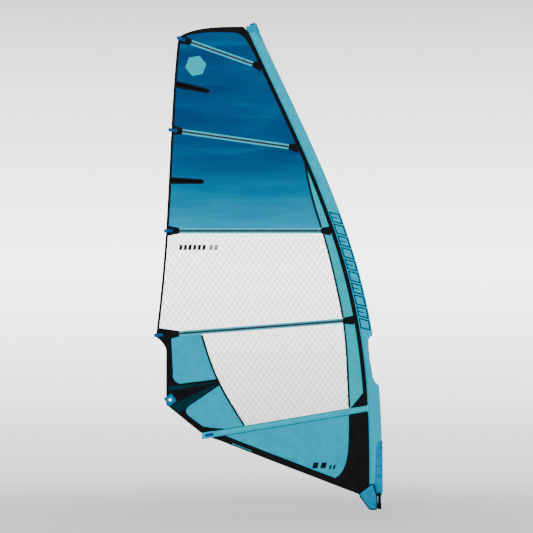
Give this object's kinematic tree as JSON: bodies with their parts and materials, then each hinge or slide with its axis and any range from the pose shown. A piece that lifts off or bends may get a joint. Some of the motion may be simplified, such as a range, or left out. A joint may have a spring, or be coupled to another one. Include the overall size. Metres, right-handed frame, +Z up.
{
  "type": "windsurf sail",
  "caption": "Flexible windsurf sail panel set with mast sleeve, full-length battens, screw tensioners, clew eyelet, and tack pulley.",
  "frame": {"origin": "on the mast axis, level with the lowest edge of the tack", "axes": "+Z up the mast, +X forward to the luff, -X aft to the leech, Y across the cloth with the belly towards -Y"},
  "size_m": [1.9608, 0.0947, 4.1845],
  "materials": {
    "sleeve_cloth": "woven polyester",
    "body_cloth": "printed laminate",
    "cyan_cloth": "laminate",
    "pocket_cloth": "woven polyester",
    "black_cloth": "woven polyester",
    "film": "clear scrim film",
    "padding": "padded neoprene and polyester",
    "blue_webbing": "webbing",
    "black_webbing": "webbing",
    "blue_plastic": "moulded",
    "black_plastic": "moulded",
    "batten_rod": "pultruded glass fibre",
    "steel": "stainless"
  },
  "bodies": {
    "sail": {"batten_1": "batten_rod", "batten_2": "batten_rod", "batten_3": "batten_rod", "batten_4": "batten_rod", "batten_5": "batten_rod", "batten_end_patches": "black_cloth", "batten_pocket_1": "pocket_cloth", "batten_pocket_2": "pocket_cloth", "batten_pocket_3": "pocket_cloth", "batten_pocket_4": "pocket_cloth", "batten_pocket_5": "pocket_cloth", "clew_eyelet": "steel", "clew_panel_lower": "cyan_cloth", "clew_panel_upper": "cyan_cloth", "clew_patch": "black_cloth", "clew_tab": "blue_webbing", "foot_panel": "cyan_cloth", "foot_tape": "black_cloth", "head_band": "black_cloth", "head_collar": "sleeve_cloth", "head_panel": "body_cloth", "leech_batten_pockets": "black_cloth", "leech_battens": "batten_rod", "leech_tape": "black_cloth", "lower_window": "film", "luff_panel_1": "cyan_cloth", "luff_panel_2": "cyan_cloth", "luff_panel_3": "cyan_cloth", "luff_sleeve_lower": "sleeve_cloth", "luff_sleeve_upper": "sleeve_cloth", "luff_tape": "black_cloth", "mast_protector": "padding", "mid_body_panel": "body_cloth", "protector_eyelet": "steel", "tack_panel": "black_cloth", "tack_strap": "black_webbing", "tensioner_housing_1": "blue_plastic", "tensioner_housing_2": "blue_plastic", "tensioner_housing_3": "blue_plastic", "tensioner_housing_4": "blue_plastic", "tensioner_housing_5": "blue_plastic", "upper_body_panel": "body_cloth", "upper_window": "film"},
    "screw_1": {"tension_screw_1": "steel"},
    "plug_1": {"batten_plug_1": "blue_plastic"},
    "screw_2": {"tension_screw_2": "steel"},
    "plug_2": {"batten_plug_2": "blue_plastic"},
    "screw_3": {"tension_screw_3": "steel"},
    "plug_3": {"batten_plug_3": "blue_plastic"},
    "screw_4": {"tension_screw_4": "steel"},
    "plug_4": {"batten_plug_4": "blue_plastic"},
    "screw_5": {"tension_screw_5": "steel"},
    "plug_5": {"batten_plug_5": "blue_plastic"},
    "sheave_1": {"tack_sheave_1": "black_plastic"},
    "sheave_2": {"tack_sheave_2": "black_plastic"},
    "sheave_3": {"tack_sheave_3": "black_plastic"},
    "tack_block": {"tack_block_frame": "black_plastic", "tack_block_axle": "steel"},
    "fairing": {"tack_fairing": "padding"},
    "head_cap": {"head_cap": "blue_plastic"}
  },
  "joints": [
    {"name": "screw_turn_1", "type": "hinge", "parent": "sail", "child": "screw_1", "pos_m": [-1.72068, -0.00013, 4.05612], "axis": [-0.9428, 0, 0.3333], "range_deg": [0, 1441]},
    {"name": "plug_slide_1", "type": "slide", "parent": "sail", "child": "plug_1", "axis": [0.9428, 0, -0.3333], "range_m": [0, 0.008]},
    {"name": "screw_turn_2", "type": "hinge", "parent": "sail", "child": "screw_2", "pos_m": [-1.79441, -0.00015, 3.26663], "axis": [-0.9899, 0, 0.1419], "range_deg": [0, 1441]},
    {"name": "plug_slide_2", "type": "slide", "parent": "sail", "child": "plug_2", "axis": [0.9899, 0, -0.1419], "range_m": [0, 0.008]},
    {"name": "screw_turn_3", "type": "hinge", "parent": "sail", "child": "screw_3", "pos_m": [-1.832, -0.0006, 2.398], "axis": [-1, 0, 0], "range_deg": [0, 1441]},
    {"name": "plug_slide_3", "type": "slide", "parent": "sail", "child": "plug_3", "axis": [1, 0, 0], "range_m": [0, 0.008]},
    {"name": "screw_turn_4", "type": "hinge", "parent": "sail", "child": "screw_4", "pos_m": [-1.91683, -0.0004, 1.49917], "axis": [-0.997, 0, -0.0776], "range_deg": [0, 1441]},
    {"name": "plug_slide_4", "type": "slide", "parent": "sail", "child": "plug_4", "axis": [0.997, 0, 0.0776], "range_m": [0, 0.008]},
    {"name": "screw_turn_5", "type": "hinge", "parent": "sail", "child": "screw_5", "pos_m": [-1.48121, -0.02106, 0.64047], "axis": [-0.9863, 0, -0.1649], "range_deg": [0, 1441]},
    {"name": "plug_slide_5", "type": "slide", "parent": "sail", "child": "plug_5", "axis": [0.9863, 0, 0.1649], "range_m": [0, 0.008]},
    {"name": "block_swing", "type": "hinge", "parent": "sail", "child": "tack_block", "pos_m": [0.0033, -0.044, 0.051], "axis": [1, 0, 0], "range_deg": [-35, 5]},
    {"name": "sheave_turn_1", "type": "hinge", "parent": "tack_block", "child": "sheave_1", "pos_m": [-0.006, -0.044, 0.02], "axis": [1, 0, 0], "continuous": true},
    {"name": "sheave_turn_2", "type": "hinge", "parent": "tack_block", "child": "sheave_2", "pos_m": [0.0033, -0.044, 0.02], "axis": [1, 0, 0], "continuous": true},
    {"name": "sheave_turn_3", "type": "hinge", "parent": "tack_block", "child": "sheave_3", "pos_m": [0.0126, -0.044, 0.02], "axis": [1, 0, 0], "continuous": true},
    {"name": "fairing_flap", "type": "hinge", "parent": "sail", "child": "fairing", "pos_m": [-0.068, -0.03365, 0.219], "axis": [-0.7851, 0.0718, -0.6152], "range_deg": [0, 110]},
    {"name": "cap_slide", "type": "slide", "parent": "sail", "child": "head_cap", "axis": [-0.4048, 0, 0.9144], "range_m": [0, 0.04]}
  ],
  "couplings": [
    {"joint": "screw_turn_1", "follows": "plug_slide_1", "rad_per_m": 3141.6},
    {"joint": "screw_turn_2", "follows": "plug_slide_2", "rad_per_m": 3141.6},
    {"joint": "screw_turn_3", "follows": "plug_slide_3", "rad_per_m": 3141.6},
    {"joint": "screw_turn_4", "follows": "plug_slide_4", "rad_per_m": 3141.6},
    {"joint": "screw_turn_5", "follows": "plug_slide_5", "rad_per_m": 3141.6}
  ]
}
